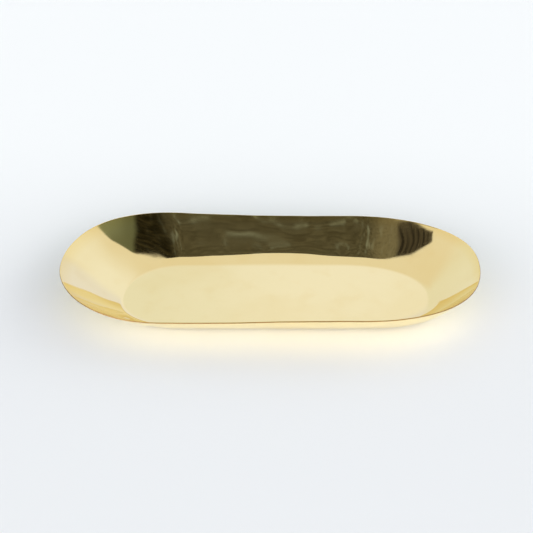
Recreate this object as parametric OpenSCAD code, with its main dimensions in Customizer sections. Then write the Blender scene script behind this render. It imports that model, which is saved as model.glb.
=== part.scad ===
// Shallow oval tray formed by hand out of one sheet of brass.
// X runs along the tray, Y across it, Z up. The flat underside rests on z = 0.

/* [Rim] */
// Length of the tray over its rim, end to end
rim_length = 300; // [270:5:330]
// Width of the tray over its rim, at the middle of its length
rim_width = 144; // [136:1:156]
// How far each long side drifts outward between the middle and the ends
side_spread = 3; // [0:0.5:5]
// Length of the rounded cap at the left end (-X) of the rim
rim_cap_left = 80; // [74:1:96]
// Length of the rounded cap at the right end (+X) of the rim
rim_cap_right = 90; // [74:1:96]
// Squareness of the rim's caps: 2 is an ellipse, more is squarer
rim_squareness = 2.1; // [2:0.05:2.3]
// Mean height of the rim's outer edge above the resting plane
rim_height = 25; // [22:0.5:28]

/* [Back side] */
// How far the middle of the back side (+Y) leans outward
back_lean = 2; // [0:0.5:3]
// How much lower the rim is at the middle of the back side
back_dip = 1.3; // [0:0.1:2]
// Distance from the middle over which the lean and the dip fade
back_reach = 70; // [40:5:80]

/* [Flat bottom] */
// Length of the flat bottom
flat_length = 217; // [205:1:222]
// Width of the flat bottom
flat_width = 74; // [70:1:78]
// Length of the rounded cap at the left end of the flat bottom
flat_cap_left = 42; // [38:1:64]
// Length of the rounded cap at the right end of the flat bottom
flat_cap_right = 58; // [38:1:64]
// Squareness of the flat bottom's caps: 2 is an ellipse, more is squarer
flat_squareness = 2.15; // [2:0.05:2.4]
// How far the flat bottom sits towards +X from the middle of the rim
flat_shift_x = 3.5; // [0:0.5:4]
// How far the flat bottom sits towards -Y from the middle of the rim
flat_shift_y = 1; // [0:0.5:3]
// Angle by which the flat bottom is turned inside the rim
flat_turn = 1; // [0:0.5:2]
// Lean of the flat bottom's left cap: how far X moves for each step in Y
flat_lean_left = 0.12; // [0:0.02:0.2]
// Lean of the flat bottom's right cap: how far X moves for each step in Y
flat_lean_right = -0.05; // [-0.1:0.01:0.1]

/* [Wall] */
// Thickness of the brass sheet
sheet = 0.8; // [0.6:0.1:1.2]
// Outside radius of the bend at the foot of the wall, along the long sides
bend_side = 19; // [14:1:21]
// How much wider the bend is at the middle of the back side
bend_widening = 7.5; // [0:0.5:8]
// Distance from the middle over which the bend's widening fades
widening_reach = 38; // [30:1:45]
// Outside radius of the bend at the tip of the left cap
bend_tip_left = 5; // [4:1:14]
// Outside radius of the bend at the tip of the right cap
bend_tip_right = 16; // [4:1:18]
// How much wider the bend is round the front of the right cap
bend_front_right = 18; // [0:1:20]
// Angle by which the wall curls up between its bend and the rim, along the long sides
curl_side = 8; // [4:1:12]
// Angle by which the wall curls up between its bend and the rim, at the tips of the caps
curl_tip = 11; // [4:1:14]

/* [Hand-formed rim] */
// Size of the rise and dip that comes twice round the rim
wave_2 = 0.8; // [0:0.1:1.2]
// Size of the rise and dip that comes three times round the rim
wave_3 = 0.4; // [0:0.1:0.8]
// Size of the rise and dip that comes four times round the rim
wave_4 = 0.9; // [0:0.1:1.2]
// Size of the rise and dip that comes five times round the rim
wave_5 = 0.4; // [0:0.1:0.8]
// Size of the rise and dip that comes six times round the rim
wave_6 = 0.2; // [0:0.1:0.4]

/* [Fineness] */
// Steps round each end cap
cap_steps = 44; // [24:2:48]
// Steps along each long side
side_steps = 26; // [16:2:30]
// Steps up the bend
bend_steps = 7; // [5:1:8]
// Steps up the wall above the bend
wall_steps = 3; // [2:1:4]

/* [Hidden] */
brass = [0.87, 0.73, 0.42];
// angles round the rim at which each wave has its first crest
wave_crests = [-14, 33, 25, 2, 15];
// how far the long sides have drifted out where the left cap begins
drift = side_spread * pow(1 - 2 * rim_cap_left / rim_length, 2);
// the lean and the dip grow to their full size over this distance from the middle line
back_start = rim_width / 3;
// the back side reaches out further than the front by the rest of its lean
centre_y = max(0, back_lean - drift) / 2;
// spare height left under the flat bottom, dressed off to make the resting face
dressing = 0.2;
// the bend never takes more than this share of the widest radius that the wall has room for
bend_limit = 0.9;
station_count = 2 * (cap_steps + side_steps);
level_count = bend_steps + wall_steps;

// Sine or cosine bent towards a squarer cap.
function squared(value, squareness) = sign(value) * pow(abs(value), 2 / squareness);

// Point of a cap with its middle at centre_x; reach is negative for a left cap.
function cap_point(a, centre_x, reach, half_width, squareness) =
    [centre_x + reach * squared(cos(a), squareness), half_width * squared(sin(a), squareness)];

// Point of an oval outline: right cap, back side, left cap, front side.
function oval_point(i, length, half_width, cap_left, cap_right, squareness) =
    let (
        left_x = cap_left - length / 2,
        right_x = length / 2 - cap_right,
        section = floor(i / (cap_steps + side_steps)),
        k = i - section * (cap_steps + side_steps),
        turn = 180 * k / cap_steps - 90,
        along = (k - cap_steps) / side_steps,
        from_x = section == 0 ? right_x : left_x,
        to_x = section == 0 ? left_x : right_x,
        side_y = section == 0 ? half_width : -half_width
    )
    k >= cap_steps ? [from_x + (to_x - from_x) * along, side_y]
    : section == 0 ? cap_point(turn, right_x, cap_right, half_width, squareness)
    : cap_point(turn + 180, left_x, cap_left, half_width, squareness);

// 1 at the middle of the back side, fading to 0 towards its ends and on the front side.
function back_share(p) =
    let (away = (p[0] - flat_shift_x) / back_reach)
    exp(-away * away) * max(0, min(1, p[1] / back_start));

// Rim outline: the oval with its long sides drifting outward towards the ends,
// and the middle of the back side leaning outward.
function rim_point(i) =
    let (
        p = oval_point(i, rim_length, rim_width / 2, rim_cap_left, rim_cap_right, rim_squareness),
        along = 2 * p[0] / rim_length,
        spread = 1 + side_spread * along * along * 2 / rim_width
    )
    [p[0], p[1] * spread + back_lean * back_share(p)];

// Outline of the flat bottom: an oval whose caps lean, turned a little inside the rim.
function flat_point(i) =
    let (
        p = oval_point(i, flat_length, flat_width / 2, flat_cap_left, flat_cap_right, flat_squareness),
        into_left = max(0, (flat_cap_left - flat_length / 2 - p[0]) / flat_cap_left),
        into_right = max(0, (flat_cap_right - flat_length / 2 + p[0]) / flat_cap_right),
        x = p[0] + (flat_lean_left * into_left + flat_lean_right * into_right) * p[1]
    )
    [
        x * cos(flat_turn) - p[1] * sin(flat_turn) + flat_shift_x,
        x * sin(flat_turn) + p[1] * cos(flat_turn) - flat_shift_y
    ];

// Height of the rim's outer edge at a point of its outline.
function rim_level(p) =
    let (a = atan2(p[1] / rim_width, p[0] / rim_length))
    rim_height - back_dip * back_share(p)
    + wave_2 * cos(2 * (a - wave_crests[0]))
    + wave_3 * cos(3 * (a - wave_crests[1]))
    + wave_4 * cos(4 * (a - wave_crests[2]))
    + wave_5 * cos(5 * (a - wave_crests[3]))
    + wave_6 * cos(6 * (a - wave_crests[4]));

// 1 along the long sides, falling to 0 at the tips of the caps.
function side_share(i) =
    let (k = i % (cap_steps + side_steps))
    k >= cap_steps ? 1 : pow(sin(180 * k / cap_steps - 90), 2);

// 1 round the front of the right cap, halfway between its tip and the front side.
function front_right_share(i) = i < cap_steps / 2 ? pow(sin(360 * i / cap_steps), 2) : 0;

// Radius of the bend at a station.
function bend_radius(i) =
    let (
        foot = flat_point(i),
        away = (foot[0] - flat_shift_x) / widening_reach,
        at_side = bend_side + (foot[1] > 0 ? bend_widening * exp(-away * away) : 0),
        at_tip = i <= cap_steps ? bend_tip_right : bend_tip_left
    )
    at_tip + (at_side - at_tip) * side_share(i) + bend_front_right * front_right_share(i);

// Widest bend that a wall of this run and rise may have.
function widest_bend(run, rise) = bend_limit * (run * run + rise * rise) / (2 * rise);

// Angle by which the wall curls up at a station.
function wall_curl(i) = curl_tip + (curl_side - curl_tip) * side_share(i);

// Slope at which a wall of this run, rise, bend radius and curl leaves its bend.
function foot_slope(run, rise, radius, curl) =
    let (over = rise - radius)
    acos(-radius * cos(curl / 2) / norm([run, over])) - atan2(run, over) - curl / 2;

// Outside of the wall in section, from the flat bottom (level 0) to the rim:
// [distance out, height, slope]. The bend comes first, then a wide arc up to the rim.
function wall_section(level, run, rise, radius, curl) =
    let (
        foot = foot_slope(run, rise, radius, curl),
        bend_run = radius * sin(foot),
        bend_rise = radius * (1 - cos(foot)),
        wide = norm([run - bend_run, rise - bend_rise]) / (2 * sin(curl / 2)),
        bend_slope = foot * level / bend_steps,
        wall_slope = foot + curl * (level - bend_steps) / wall_steps
    )
    level <= bend_steps
        ? [radius * sin(bend_slope), radius * (1 - cos(bend_slope)), bend_slope]
        : [
            bend_run + wide * (sin(wall_slope) - sin(foot)),
            bend_rise + wide * (cos(foot) - cos(wall_slope)),
            wall_slope
        ];

// Point of one face of the sheet; depth 0 is the outside and sheet the inside.
function sheet_point(i, level, depth) =
    let (
        foot = flat_point(i),
        rim = rim_point(i),
        run = norm(rim - foot),
        out = (rim - foot) / run,
        rise = rim_level(rim),
        radius = min(bend_radius(i), widest_bend(run, rise)),
        section = wall_section(level, run, rise, radius, wall_curl(i)),
        reach = section[0] - depth * sin(section[2])
    )
    [foot[0] + out[0] * reach, foot[1] + out[1] * reach, section[1] + depth * cos(section[2])];

// Faces of a band between two neighbouring rings of points.
function band(first, second) = [
    for (i = [0 : station_count - 1])
        let (j = (i + 1) % station_count)
        each [[first + i, second + j, first + j], [first + i, second + i, second + j]]
];

// The whole formed sheet, with its underside left proud of the resting plane.
module formed_sheet() {
    ring = station_count;
    levels = [0 : level_count];
    foot = [for (i = [0 : ring - 1]) [flat_point(i)[0], flat_point(i)[1], -dressing]];
    outside = [for (level = levels, i = [0 : ring - 1]) sheet_point(i, level, 0)];
    inside = [for (level = levels, i = [0 : ring - 1]) sheet_point(i, level_count - level, sheet)];
    last_ring = 2 * level_count + 2;
    // both flat faces are listed from the tip of the right cap
    tip = cap_steps / 2;
    polyhedron(
        points = concat(foot, outside, inside),
        faces = concat(
            [[for (i = [0 : ring - 1]) (i + tip) % ring]],
            [for (k = [0 : last_ring - 1]) each band(k * ring, (k + 1) * ring)],
            [[for (i = [ring : -1 : 1]) last_ring * ring + (i + tip) % ring]]
        )
    );
}

// The tray: the formed sheet dressed flat where it rests, with its footprint centred.
module tray() {
    color(brass)
    translate([0, -centre_y, 0])
    difference() {
        formed_sheet();
        translate([-rim_length, -rim_width, -rim_height])
            cube([2 * rim_length, 2 * rim_width, rim_height]);
    }
}

tray();
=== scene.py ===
import math

import bpy
import numpy as np
from mathutils import Matrix, Vector


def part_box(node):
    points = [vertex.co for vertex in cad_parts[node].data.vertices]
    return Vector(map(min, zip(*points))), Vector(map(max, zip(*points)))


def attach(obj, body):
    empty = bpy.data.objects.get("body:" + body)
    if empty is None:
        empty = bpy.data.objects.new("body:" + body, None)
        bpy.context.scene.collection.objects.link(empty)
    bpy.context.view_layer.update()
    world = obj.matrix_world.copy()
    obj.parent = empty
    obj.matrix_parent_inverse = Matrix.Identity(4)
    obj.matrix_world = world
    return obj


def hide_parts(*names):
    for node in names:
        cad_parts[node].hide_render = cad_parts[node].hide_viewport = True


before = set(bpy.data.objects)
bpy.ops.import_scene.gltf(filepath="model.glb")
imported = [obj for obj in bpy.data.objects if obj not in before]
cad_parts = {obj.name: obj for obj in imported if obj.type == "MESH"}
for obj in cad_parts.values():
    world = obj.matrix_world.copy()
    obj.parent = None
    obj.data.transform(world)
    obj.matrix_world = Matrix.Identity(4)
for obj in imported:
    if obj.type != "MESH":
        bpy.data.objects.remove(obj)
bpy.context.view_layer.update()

# --- the tray's design, in metres, in the frame of the CAD part -------------------------
RIM_LENGTH = 0.300
RIM_WIDTH = 0.144
SIDE_SPREAD = 0.003
RIM_CAPS = (0.080, 0.090)
RIM_SQUARENESS = 2.1
RIM_HEIGHT = 0.025
# the middle of the back side leans outward and its rim dips
BACK_LEAN = 0.002
BACK_DIP = 0.0013
BACK_REACH = 0.070
# the lean and the dip grow to their full size over this distance from the middle line
BACK_START = RIM_WIDTH / 3
FLAT_LENGTH = 0.217
FLAT_WIDTH = 0.074
FLAT_CAPS = (0.042, 0.058)
FLAT_SQUARENESS = 2.15
FLAT_SHIFT = (0.0035, -0.001)
FLAT_TURN = 1.0
FLAT_LEANS = (0.12, -0.05)
SHEET = 0.0008
# outside radius of the bend at the foot of the wall: along the sides, at the left and right tips
BEND_SIDE = 0.019
BEND_TIPS = (0.005, 0.016)
# how much wider the bend is round the front of the right cap
BEND_FRONT_RIGHT = 0.018
# how much wider the bend is at the middle of the back side, and over what reach
BEND_WIDENING = 0.0075
WIDENING_REACH = 0.038
# degrees by which the wall curls up between its bend and the rim, at the sides and the tips
CURL_SIDE = 8.0
CURL_TIP = 11.0
# each wave of the rim: times round, height, angle of its first crest in degrees
RIM_WAVES = ((2, 0.0008, -14), (3, 0.0004, 33), (4, 0.0009, 25), (5, 0.0004, 2), (6, 0.0002, 15))
# how often the section is smoothed where the flat bottom runs into the bend; the smoothing
# starts at this strength, which counts as 1 while it is above 1, and fades to 0 at the rim
EASE_ROUNDS = 12
EASE_START = 1.2
# rounding of the corners of the cut edge
EDGE_ROUNDING = 0.0002
# share of the wall below the rim over which its colour deepens
LIP_SHARE = 0.25
# forming marks left by the hand: wavelength and height of each set of shallow swells, the
# number of waves in a set, and how much of them reaches the flat bottom
SWELLS = ((0.055, 0.00007), (0.021, 0.00003))
SWELL_WAVES = 5
FLOOR_SWELL = 0.35

# --- the brass and the floor -------------------------------------------------------------
BRASS_CLEAN = (0.895, 0.795, 0.445)
BRASS_CLOUDED = (0.875, 0.762, 0.405)
BRASS_BLOTCHED = (0.870, 0.745, 0.385)
BRASS_LIP = (0.86, 0.69, 0.26)
BRASS_CUT = (0.36, 0.215, 0.065)
# roughness added by a matt cut edge
CUT_ROUGHNESS = 0.30
# heights of the hairline scratches and of the dapple
HAIR_HEIGHT = 0.000002
DAPPLE_HEIGHT = 0.000011
# painted light on the floor: the paper's colour darkens towards the front and pales towards the back,
# standing in for the fall-off of the light
PAPER_NEAR_PAINTED_SHADE = (0.783, 0.824, 0.818)
PAPER_FAR_PAINTED_LIGHT = (0.865, 0.912, 0.895)
FLOOR_HALF = 3.0
FLOOR_GAP = 0.0001

# --- the light, as radiance --------------------------------------------------------------
FRONT_LIGHT = (4.2, 3.85, 4.15)
SIDE_LIGHT = (2.9, 2.8, 2.7)
DOME_SIDES = (0.75, 0.80, 0.82)
DOME_TOP = (0.40, 0.41, 0.43)
BACKDROP = (0.90, 0.92, 0.96)
# pale walls: behind the tray below and above, on its left, and close under the ceiling
WALL_LOW = (0.90, 0.89, 1.06)
WALL_HIGH = (0.985, 0.97, 1.05)
WALL_LEFT = (0.90, 0.895, 0.91)
WALL_WARM = (0.885, 0.81, 0.73)
# ceiling boards: plain ones with their shade and pale patches, a brown one, ones with curved grain
BOARD_DARK = (0.050, 0.043, 0.026)
BOARD_PALE = (0.125, 0.112, 0.080)
BOARD_SHADE = (0.02, 0.018, 0.01)
BOARD_PATCH = (0.25, 0.27, 0.25)
BOARD_BROWN = (0.205, 0.178, 0.125)
CURVED_DARK = (0.026, 0.021, 0.015)
CURVED_PALE = (0.078, 0.064, 0.047)
# the ceiling's shaded and lit parts, each from dark to pale
SHADED_DARK = (0.006, 0.005, 0.002)
SHADED_PALE = (0.040, 0.032, 0.016)
LIT_DARK = (0.14, 0.15, 0.10)
LIT_PALE = (0.25, 0.275, 0.20)
# light passes from wall to wall inside a shiny dish many times
GLOSSY_BOUNCES = 12

# --- the camera --------------------------------------------------------------------------
CAMERA_ELEVATION = 32.35
CAMERA_AZIMUTH = 1.0
CAMERA_DISTANCE = 0.975
SENSOR = 36
LENS = 91.9
# how far it aims to the left of and below the middle of the rim
AIM_LEFT = 0.0024
AIM_BELOW = 0.0015

# --- the fineness of the visible mesh ----------------------------------------------------
CAP_STEPS = 130
SIDE_STEPS = 80
FLOOR_RINGS = 30
EASE_STEPS = 6
BEND_STEPS = 22
WALL_STEPS = 24
CORNER_STEPS = 3
# place of a last ring close below the rim, in steps of the wall
HOLDING_STEP = 0.4


# --- outlines and sections ---------------------------------------------------------------
def squared(value, squareness):
    """Sine or cosine bent towards a squarer cap."""
    return np.sign(value) * np.abs(value) ** (2 / squareness)


def cap_turn():
    """Angle round a cap at each of its stations, from its front end to its back end."""
    return np.radians(180 * np.arange(CAP_STEPS) / CAP_STEPS - 90)


def oval(length, half_width, caps, squareness):
    """Closed outline: right cap, back side, left cap, front side."""
    left_x, right_x = caps[0] - length / 2, length / 2 - caps[1]
    reach = squared(np.cos(cap_turn()), squareness)
    rise = half_width * squared(np.sin(cap_turn()), squareness)
    part = np.arange(SIDE_STEPS) / SIDE_STEPS
    right = np.stack([right_x + caps[1] * reach, rise], 1)
    back = np.stack([right_x + (left_x - right_x) * part, np.full(SIDE_STEPS, half_width)], 1)
    left = np.stack([left_x - caps[0] * reach, -rise], 1)
    front = np.stack([left_x + (right_x - left_x) * part, np.full(SIDE_STEPS, -half_width)], 1)
    return np.concatenate([right, back, left, front])


def side_share():
    """1 along the long sides, falling to 0 at the tips of the caps."""
    cap, side = np.sin(cap_turn()) ** 2, np.ones(SIDE_STEPS)
    return np.concatenate([cap, side, cap, side])


def back_share(points):
    """1 at the middle of the back side, fading to 0 towards its ends and on the front side."""
    away = (points[:, 0] - FLAT_SHIFT[0]) / BACK_REACH
    return np.exp(-away * away) * np.clip(points[:, 1] / BACK_START, 0, 1)


def rim_outline():
    """Outline of the rim: its long sides drift outward, and the middle of the back leans out."""
    points = oval(RIM_LENGTH, RIM_WIDTH / 2, RIM_CAPS, RIM_SQUARENESS)
    along = 2 * points[:, 0] / RIM_LENGTH
    lean = BACK_LEAN * back_share(points)
    points[:, 1] = points[:, 1] * (1 + SIDE_SPREAD * along * along * 2 / RIM_WIDTH) + lean
    return points


def flat_outline():
    """Outline of the flat bottom: its caps lean, and it is turned a little inside the rim."""
    points = oval(FLAT_LENGTH, FLAT_WIDTH / 2, FLAT_CAPS, FLAT_SQUARENESS)
    x, y = points[:, 0], points[:, 1]
    into_left = np.maximum(0, (FLAT_CAPS[0] - FLAT_LENGTH / 2 - x) / FLAT_CAPS[0])
    into_right = np.maximum(0, (FLAT_CAPS[1] - FLAT_LENGTH / 2 + x) / FLAT_CAPS[1])
    x = x + (FLAT_LEANS[0] * into_left + FLAT_LEANS[1] * into_right) * y
    cos, sin = math.cos(math.radians(FLAT_TURN)), math.sin(math.radians(FLAT_TURN))
    return np.stack([x * cos - y * sin + FLAT_SHIFT[0], x * sin + y * cos + FLAT_SHIFT[1]], 1)


def rim_levels(points):
    """Height of the rim's outer edge at each point of its outline."""
    turn = np.arctan2(points[:, 1] / RIM_WIDTH, points[:, 0] / RIM_LENGTH)
    level = RIM_HEIGHT - BACK_DIP * back_share(points)
    for times, height, crest in RIM_WAVES:
        level = level + height * np.cos(times * (turn - math.radians(crest)))
    return level


def bend_radii(foot):
    """Outside radius of the bend at each station.

    It widens at the middle of the back side and round the front of the right cap.
    """
    middle = np.exp(-(((foot[:, 0] - FLAT_SHIFT[0]) / WIDENING_REACH) ** 2)) * (foot[:, 1] > 0)
    at_tip = np.repeat((BEND_TIPS[1], BEND_TIPS[0]), CAP_STEPS + SIDE_STEPS)
    radius = at_tip + (BEND_SIDE + BEND_WIDENING * middle - at_tip) * side_share()
    front_right = np.where(cap_turn() < 0, np.sin(2 * cap_turn()) ** 2, 0)
    radius[:CAP_STEPS] += BEND_FRONT_RIGHT * front_right
    return radius


def eased(levels):
    """Values level by level, with the sudden start of the bend smoothed out.

    The smoothing fades to nothing towards the rim.
    """
    levels = np.array(levels)
    smooth = levels.copy()
    for _ in range(EASE_ROUNDS):
        smooth[1:-1] = (smooth[:-2] + 2 * smooth[1:-1] + smooth[2:]) / 4
    fade = np.linspace(EASE_START, 0, len(levels)).clip(0, 1) ** 2
    return levels + (smooth - levels) * fade[:, None]


def wall_sections(run, rise, radius):
    """Outside of the wall above each station: distances out, heights and slopes.

    A strip of the flat bottom comes first, then the bend, then a wide arc that curls up
    to the rim.
    """
    curl = np.radians(CURL_TIP + (CURL_SIDE - CURL_TIP) * side_share())
    over = rise - radius
    foot = np.arccos(-radius * np.cos(curl / 2) / np.hypot(run, over))
    foot -= np.arctan2(run, over) + curl / 2
    bend_run, bend_rise = radius * np.sin(foot), radius * (1 - np.cos(foot))
    wide = np.hypot(run - bend_run, rise - bend_rise) / (2 * np.sin(curl / 2))
    out, up, slope = [], [], []
    for k in range(EASE_STEPS, 0, -1):
        out.append(-radius * foot * k / BEND_STEPS)
        up.append(0 * foot)
        slope.append(0 * foot)
    for k in range(BEND_STEPS + 1):
        angle = foot * k / BEND_STEPS
        out.append(radius * np.sin(angle))
        up.append(radius * (1 - np.cos(angle)))
        slope.append(angle)
    # the holding ring keeps the rounding of the cut edge out of the face
    for k in (*range(1, WALL_STEPS), WALL_STEPS - HOLDING_STEP, WALL_STEPS):
        angle = foot + curl * k / WALL_STEPS
        out.append(bend_run + wide * (np.sin(angle) - np.sin(foot)))
        up.append(bend_rise + wide * (np.cos(foot) - np.cos(angle)))
        slope.append(angle)
    return eased(out), eased(up), eased(slope)


def swell(points):
    """Shallow swells left in the sheet by forming it: a lift for each point.

    Each wave has its own direction, length and phase, so that they never line up.
    """
    lift = np.zeros(len(points))
    for order, (length, height) in enumerate(SWELLS):
        for k in range(SWELL_WAVES):
            turn = 2.4 * k + 1.1 * order
            pace = 2 * math.pi / (length * (0.8 + 0.11 * k))
            way = points[:, 0] * math.cos(turn) + points[:, 1] * math.sin(turn)
            lift += height / 2 * np.sin(pace * way + 1.7 * k + order)
    return lift


# --- the tray ----------------------------------------------------------------------------
def edge_profile():
    """Points over the cut edge, as (depth into the sheet, lift along the wall), inside first."""
    inner = []
    for k in range(CORNER_STEPS + 1):
        turn = math.pi / 2 * k / CORNER_STEPS
        depth = SHEET - EDGE_ROUNDING * (1 - math.cos(turn))
        inner.append((depth, EDGE_ROUNDING * (math.sin(turn) - 1)))
    return inner + [(SHEET - depth, lift) for depth, lift in reversed(inner)]


def tray_rings():
    """Rings of points from the middle of the inner floor, over the rim, to the middle underneath.

    Returns the rings, and for each ring how far it belongs to the cut edge and to the lip
    just below the rim, both from 0 to 1.
    """
    foot, rim = flat_outline(), rim_outline()
    reach = np.linalg.norm(rim - foot, axis=1)
    outward = (rim - foot) / reach[:, None]
    out, up, slope = wall_sections(reach, rim_levels(rim), bend_radii(foot))
    top = len(out) - 1
    centre = np.array(FLAT_SHIFT)
    flat_edge = foot + outward * out[0][:, None]
    shares = np.linspace(0, 1, FLOOR_RINGS + 1)[1:-1]

    def wall_ring(level, depth, lift=0.0):
        away = out[level] - depth * np.sin(slope[level]) + lift * np.cos(slope[level])
        height = up[level] + depth * np.cos(slope[level]) + lift * np.sin(slope[level])
        flat = foot + outward * away[:, None]
        risen = min(1.0, max(0.0, (level - EASE_STEPS) / BEND_STEPS))
        share = risen if depth < SHEET / 2 else max(FLOOR_SWELL, risen)
        return np.column_stack([flat, height + share * swell(flat)])

    def floor_ring(share, height, swelling):
        flat = centre + (flat_edge - centre) * share
        return np.column_stack([flat, height + swelling * swell(flat)])

    rings = [floor_ring(s, SHEET, FLOOR_SWELL) for s in shares]
    rings += [wall_ring(k, SHEET) for k in range(top)]
    cut = [0.0] * len(rings)
    lip_levels = LIP_SHARE * WALL_STEPS
    lip = [0.0] * len(shares) + [max(0.0, 1 - (top - k) / lip_levels) for k in range(top)]
    edge = [wall_ring(top, depth, lift) for depth, lift in edge_profile()]
    rings += edge
    # the inner corner is polished with the face, the rest of the edge is bare
    cut += [0.0] * CORNER_STEPS + [1.0] * (len(edge) - CORNER_STEPS)
    lip += [1.0] * len(edge)
    outside = [wall_ring(k, 0.0) for k in range(top - 1, -1, -1)]
    outside += [floor_ring(s, 0.0, 0.0) for s in shares[::-1]]
    plain = [0.0] * len(outside)
    return rings + outside, cut + plain, lip + plain


def build_tray():
    """The visible tray: a fine smooth sheet with the shape and place of the CAD node."""
    rings, cut, lip = tray_rings()
    count = len(rings[0])
    middles = np.array([[*FLAT_SHIFT, SHEET], [*FLAT_SHIFT, 0.0]])
    low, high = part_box("tray")
    points = np.concatenate(rings + [middles])
    low_edge, high_edge = points.min(axis=0), points.max(axis=0)
    points *= (high.x - low.x) / (high_edge[0] - low_edge[0])
    place = (np.array(low) + np.array(high) - points.min(axis=0) - points.max(axis=0)) / 2
    points += np.array([place[0], place[1], low.z])
    inner_middle, under_middle = len(points) - 2, len(points) - 1
    last = (len(rings) - 1) * count
    faces = []
    for i in range(count):
        j = (i + 1) % count
        faces.append((inner_middle, i, j))
        faces.append((under_middle, last + j, last + i))
        for k in range(len(rings) - 1):
            faces.append((k * count + i, (k + 1) * count + i, (k + 1) * count + j, k * count + j))
    mesh = bpy.data.meshes.new("brass_tray")
    mesh.from_pydata(points.tolist(), [], faces)
    mesh.update()
    mesh.polygons.foreach_set("use_smooth", [True] * len(mesh.polygons))
    for name, values in (("cut_edge", cut), ("lip", lip)):
        attribute = mesh.attributes.new(name, "FLOAT", "POINT")
        attribute.data.foreach_set("value", np.concatenate([np.repeat(values, count), [0.0, 0.0]]))
    tray = bpy.data.objects.new("brass_tray", mesh)
    bpy.context.scene.collection.objects.link(tray)
    return tray


# --- helpers for node trees --------------------------------------------------------------
class Nodes:
    """Short calls for building a node tree."""

    def __init__(self, tree):
        self.tree = tree

    def add(self, kind, inputs=None, **settings):
        """A node with its settings made and its inputs set or linked, by name or number."""
        node = self.tree.nodes.new(kind)
        for name, value in settings.items():
            setattr(node, name, value)
        for name, value in (inputs or {}).items():
            if isinstance(value, bpy.types.NodeSocket):
                self.tree.links.new(value, node.inputs[name])
            else:
                node.inputs[name].default_value = value
        return node

    def calc(self, operation, a, b=0.0):
        """The result of a Math node on two values."""
        return self.add("ShaderNodeMath", {0: a, 1: b}, operation=operation).outputs[0]

    def step(self, value, start, end, low=0.0, high=1.0):
        """Smooth step from low to high as value goes from start to end."""
        inputs = {"Value": value, "From Min": start, "From Max": end, "To Min": low, "To Max": high}
        return self.add("ShaderNodeMapRange", inputs, interpolation_type="SMOOTHSTEP").outputs[0]

    def mix(self, factor, a, b):
        """Colour a where the factor is 0, and b where it is 1."""
        node = self.add("ShaderNodeMix", {"Factor": factor}, data_type="RGBA")
        for name, value in (("A", a), ("B", b)):
            socket = next(s for s in node.inputs if s.name == name and s.type == "RGBA")
            if isinstance(value, bpy.types.NodeSocket):
                self.tree.links.new(value, socket)
            else:
                socket.default_value = (*value, 1)
        return next(s for s in node.outputs if s.type == "RGBA")

    def noise(self, vector, scale, detail=2.0, roughness=0.5):
        """Noise from about 0.2 to 0.8; scale is in waves to the unit of the vector."""
        inputs = {"Vector": vector, "Scale": scale, "Detail": detail, "Roughness": roughness}
        return self.add("ShaderNodeTexNoise", inputs).outputs["Fac"]

    def stretched(self, vector, scale, turn=0.0):
        """The vector turned about Z and scaled."""
        inputs = {"Vector": vector, "Scale": scale, "Rotation": (0, 0, math.radians(turn))}
        return self.add("ShaderNodeMapping", inputs).outputs[0]


# --- materials ---------------------------------------------------------------------------
def brass_material():
    """Hand-polished brass with a haze of wiping marks and a bare, duller cut edge."""
    mat = bpy.data.materials.new("polished_brass")
    mat.use_nodes = True
    shader = mat.node_tree.nodes["Principled BSDF"]
    shader.inputs["Metallic"].default_value = 1.0
    n = Nodes(mat.node_tree)
    place = n.add("ShaderNodeTexCoord").outputs["Object"]
    # colour: clean brass with slightly warmer clouds where it has begun to tarnish
    clouds = n.step(n.noise(place, 14.0, 3.0), 0.42, 0.68)
    blotches = n.step(n.noise(place, 55.0, 3.0), 0.50, 0.75)
    clean = n.mix(clouds, BRASS_CLEAN, BRASS_CLOUDED)
    face = n.mix(n.calc("MULTIPLY", blotches, 0.5), clean, BRASS_BLOTCHED)
    lip = n.add("ShaderNodeAttribute", attribute_name="lip").outputs["Fac"]
    face = n.mix(n.calc("MULTIPLY", lip, 0.7), face, BRASS_LIP)
    cut = n.add("ShaderNodeAttribute", attribute_name="cut_edge").outputs["Fac"]
    colour = n.mix(cut, face, BRASS_CUT)
    mat.node_tree.links.new(colour, shader.inputs["Base Color"])
    # roughness: bright polish, wiping marks across it, a matt cut edge
    wipes = n.noise(n.stretched(place, (60, 700, 300), 24), 1.0, 3.0)
    smears = n.noise(n.stretched(place, (18, 60, 40), -35), 1.0, 3.0)
    haze = n.noise(n.stretched(place, (26, 40, 90)), 1.0, 2.0)
    polish = n.step(smears, 0.45, 0.75, 0.032, 0.065)
    polish = n.calc("ADD", polish, n.step(wipes, 0.35, 0.75, 0.0, 0.015))
    polish = n.calc("ADD", polish, n.step(haze, 0.56, 0.74, 0.0, 0.05))
    gloss = n.calc("ADD", polish, n.calc("MULTIPLY", cut, CUT_ROUGHNESS))
    mat.node_tree.links.new(gloss, shader.inputs["Roughness"])
    # bump: hairline polishing scratches and the faint dapple of hand forming
    hairs = n.noise(n.stretched(place, (90, 3200, 900), 24), 1.0, 2.0)
    dapple = n.noise(place, 110.0, 2.0)
    hairs, dapple = n.calc("MULTIPLY", hairs, HAIR_HEIGHT), n.calc("MULTIPLY", dapple, DAPPLE_HEIGHT)
    relief = n.calc("ADD", hairs, dapple)
    bump = n.add("ShaderNodeBump", {"Height": relief, "Distance": 1.0, "Strength": 1.0})
    mat.node_tree.links.new(bump.outputs[0], shader.inputs["Normal"])
    return mat


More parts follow.
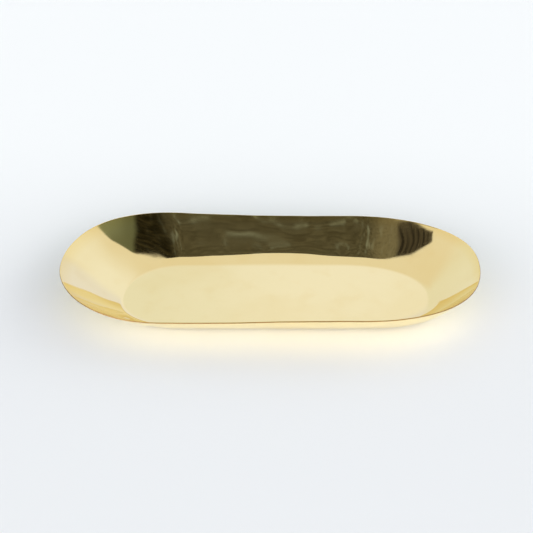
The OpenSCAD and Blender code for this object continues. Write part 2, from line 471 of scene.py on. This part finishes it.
def floor_material():
    """Matt white paper with painted light: its colour is a little paler towards the back and darker
    near the front.
    """
    mat = bpy.data.materials.new("white_paper_painted_light")
    mat.use_nodes = True
    shader = mat.node_tree.nodes["Principled BSDF"]
    n = Nodes(mat.node_tree)
    place = n.add("ShaderNodeTexCoord").outputs["Object"]
    y = n.add("ShaderNodeSeparateXYZ", {0: place}).outputs[1]
    # painted light: the colour pales from front to back, standing in for the light's fall-off and
    # lifting the tray's shadow on the floor behind it
    paper = n.mix(n.step(y, -0.10, 0.26), PAPER_NEAR_PAINTED_SHADE, PAPER_FAR_PAINTED_LIGHT)
    mat.node_tree.links.new(paper, shader.inputs["Base Color"])
    shader.inputs["Roughness"].default_value = 0.9
    shader.inputs["Specular IOR Level"].default_value = 0.2
    return mat


# --- the studio --------------------------------------------------------------------------
def build_floor():
    """Plain pale floor, a hair below the tray."""
    mesh = bpy.data.meshes.new("floor")
    corners = [(x * FLOOR_HALF, y * FLOOR_HALF, 0) for x, y in ((-1, -1), (1, -1), (1, 1), (-1, 1))]
    mesh.from_pydata(corners, [], [(0, 1, 2, 3)])
    mesh.materials.append(floor_material())
    floor = bpy.data.objects.new("floor", mesh)
    floor.location.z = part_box("tray")[0].z - FLOOR_GAP
    bpy.context.scene.collection.objects.link(floor)


def studio_walls(n, x, y, z):
    """Pale walls as seen in gloss: cool behind the tray, warmer towards the ceiling, lit in front."""
    behind = n.mix(n.step(z, 0.30, 0.52), WALL_LOW, WALL_HIGH)
    wall = n.mix(n.step(x, -0.12, 0.02), WALL_LEFT, behind)
    leaning = n.calc("SUBTRACT", z, n.calc("MULTIPLY", x, 0.2))
    wall = n.mix(n.step(leaning, 0.56, 0.80), wall, WALL_WARM)
    return n.mix(front_light(n, y, z), wall, FRONT_LIGHT)


def front_light(n, y, z):
    """Where the wide low light in front of the tray is."""
    return n.calc("MULTIPLY", n.step(y, -0.15, -0.65), n.step(z, 0.70, 0.40))


def studio_ceiling(n, across, along):
    """Dark boarded ceiling as seen in gloss: grain, pale patches, a shaded and a lit part.

    across and along are the place on a level ceiling one unit above the tray.
    """
    level = n.calc("SUBTRACT", along, n.calc("MULTIPLY", n.calc("ABSOLUTE", across), 0.55))
    place = n.add("ShaderNodeCombineXYZ", {0: across, 1: level}).outputs[0]
    grain = n.noise(n.stretched(place, (45, 75, 1)), 1.0, 4.0, 0.6)
    patches = n.noise(n.stretched(place, (26, 9, 1)), 1.0, 2.0)
    streaks = n.noise(n.stretched(place, (7, 60, 1)), 1.0, 3.0, 0.6)
    board = n.mix(n.step(grain, 0.32, 0.68), BOARD_DARK, BOARD_PALE)
    board = n.mix(n.step(along, -0.62, -0.22, 0.35, 0.0), board, BOARD_SHADE)
    board = n.mix(n.step(patches, 0.52, 0.72, 0.0, 0.85), board, BOARD_PATCH)
    # towards the left of the room: a lighter brown board, then dark ones with curved grain
    to_left = n.calc("MULTIPLY", across, -1.0)
    brown = n.calc("MULTIPLY", n.step(to_left, 0.08, 0.24), n.step(grain, 0.30, 0.60, 0.5, 0.9))
    board = n.mix(brown, board, BOARD_BROWN)
    knot = n.add("ShaderNodeVectorMath", {0: place, 1: (-0.27, -0.34, 0)}, operation="DISTANCE")
    rings = n.add("ShaderNodeCombineXYZ", {0: knot.outputs["Value"], 1: level}).outputs[0]
    curved = n.noise(n.stretched(rings, (34, 1, 1)), 1.0, 2.0)
    curved = n.mix(n.step(curved, 0.40, 0.58), CURVED_DARK, CURVED_PALE)
    board = n.mix(n.step(to_left, 0.33, 0.39), board, curved)
    # towards the right: a shaded part, then a lit one
    shaded = n.mix(n.step(streaks, 0.40, 0.65), SHADED_DARK, SHADED_PALE)
    board = n.mix(n.step(across, 0.03, 0.16, 0.0, 0.95), board, shaded)
    leaning = n.calc("SUBTRACT", across, n.calc("MULTIPLY", along, 0.29))
    lit = n.mix(n.step(leaning, 0.42, 0.60), LIT_DARK, LIT_PALE)
    return n.mix(n.step(leaning, 0.385, 0.42), board, lit)


def past_line(n, across, along, slope, start):
    """1 on the far side of a slanting line over the ceiling, 0 on the near side."""
    level = n.calc("ADD", n.calc("MULTIPLY", across, slope), n.calc("ADD", along, start))
    return n.step(level, -0.01, 0.01)


def ceiling_extent(n, across, along):
    """1 where the ceiling is. Its far border steps out to both sides, and its left end slants."""
    out_right = n.step(across, 0.22, 0.52, 0.0, 0.295)
    out_right = n.calc("SUBTRACT", out_right, n.step(across, 0.50, 0.80, 0.0, 0.12))
    out_right = n.calc("ADD", out_right, n.step(across, 0.03, 0.12, 0.0, 0.025))
    out_left = n.step(n.calc("MULTIPLY", across, -1.0), 0.20, 0.80, 0.0, 0.20)
    border = n.calc("ADD", n.calc("ADD", out_right, out_left), -0.06)
    extent = n.step(n.calc("SUBTRACT", along, border), -0.01, 0.01, 1.0, 0.0)
    slant, corner = past_line(n, across, along, 0.72, 0.565), past_line(n, across, along, 0.87, 0.635)
    left_end = n.calc("MULTIPLY", slant, corner)
    left_end = n.calc("MAXIMUM", left_end, n.step(across, -0.30, -0.24))
    left_end = n.calc("MULTIPLY", left_end, n.step(across, -0.775, -0.755))
    right_end, near_end = n.step(across, 0.80, 0.86, 1.0, 0.0), n.step(along, -1.35, -1.25)
    for part in (left_end, right_end, near_end):
        extent = n.calc("MULTIPLY", extent, part)
    return extent


def build_light():
    """Soft light from all round, strongest low in front; gloss also shows the room's ceiling."""
    world = bpy.data.worlds.new("studio")
    bpy.context.scene.world = world
    world.use_nodes = True
    world.node_tree.nodes.clear()
    n = Nodes(world.node_tree)
    way = n.add("ShaderNodeTexCoord").outputs["Generated"]
    split = n.add("ShaderNodeSeparateXYZ", {0: way}).outputs
    x, y, z = split[0], split[1], split[2]
    height = n.calc("MAXIMUM", z, 0.001)
    across, along = n.calc("DIVIDE", x, height), n.calc("DIVIDE", y, height)
    extent = ceiling_extent(n, across, along)
    in_gloss = n.mix(extent, studio_walls(n, x, y, z), studio_ceiling(n, across, along))
    dome = n.mix(n.step(z, 0.60, 0.85), DOME_SIDES, DOME_TOP)
    window = n.calc("MULTIPLY", n.step(x, 0.45, 0.85), n.step(z, 0.70, 0.40))
    dome = n.mix(window, dome, SIDE_LIGHT)
    dome = n.mix(front_light(n, y, z), dome, FRONT_LIGHT)
    rays = n.add("ShaderNodeLightPath").outputs
    seen = n.mix(rays["Is Camera Ray"], dome, BACKDROP)
    light = n.mix(rays["Is Glossy Ray"], seen, in_gloss)
    background = n.add("ShaderNodeBackground", {"Color": light})
    n.add("ShaderNodeOutputWorld", {"Surface": background.outputs[0]})


def build_camera():
    """Camera in front of the tray, looking down on it at about 32 degrees."""
    elevation, azimuth = math.radians(CAMERA_ELEVATION), math.radians(CAMERA_AZIMUTH)
    level = math.cos(elevation)
    back = Vector((math.sin(azimuth) * level, -math.cos(azimuth) * level, math.sin(elevation)))
    right = Vector((math.cos(azimuth), math.sin(azimuth), 0))
    up = back.cross(right)
    low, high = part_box("tray")
    rim_middle = Vector(((low.x + high.x) / 2, (low.y + high.y) / 2, low.z + RIM_HEIGHT))
    target = rim_middle - right * AIM_LEFT - up * AIM_BELOW
    camera = bpy.data.objects.new("camera", bpy.data.cameras.new("camera"))
    camera.data.sensor_width = SENSOR
    camera.data.lens = LENS
    turn = Matrix((right, up, back)).transposed().to_4x4()
    camera.matrix_world = Matrix.Translation(target + back * CAMERA_DISTANCE) @ turn
    bpy.context.scene.collection.objects.link(camera)
    bpy.context.scene.camera = camera


build_camera()
build_floor()
build_light()
tray = build_tray()
tray.data.materials.append(brass_material())
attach(tray, "root")
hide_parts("tray")
bpy.context.scene.view_settings.view_transform = "Standard"
bpy.context.scene.cycles.glossy_bounces = GLOSSY_BOUNCES
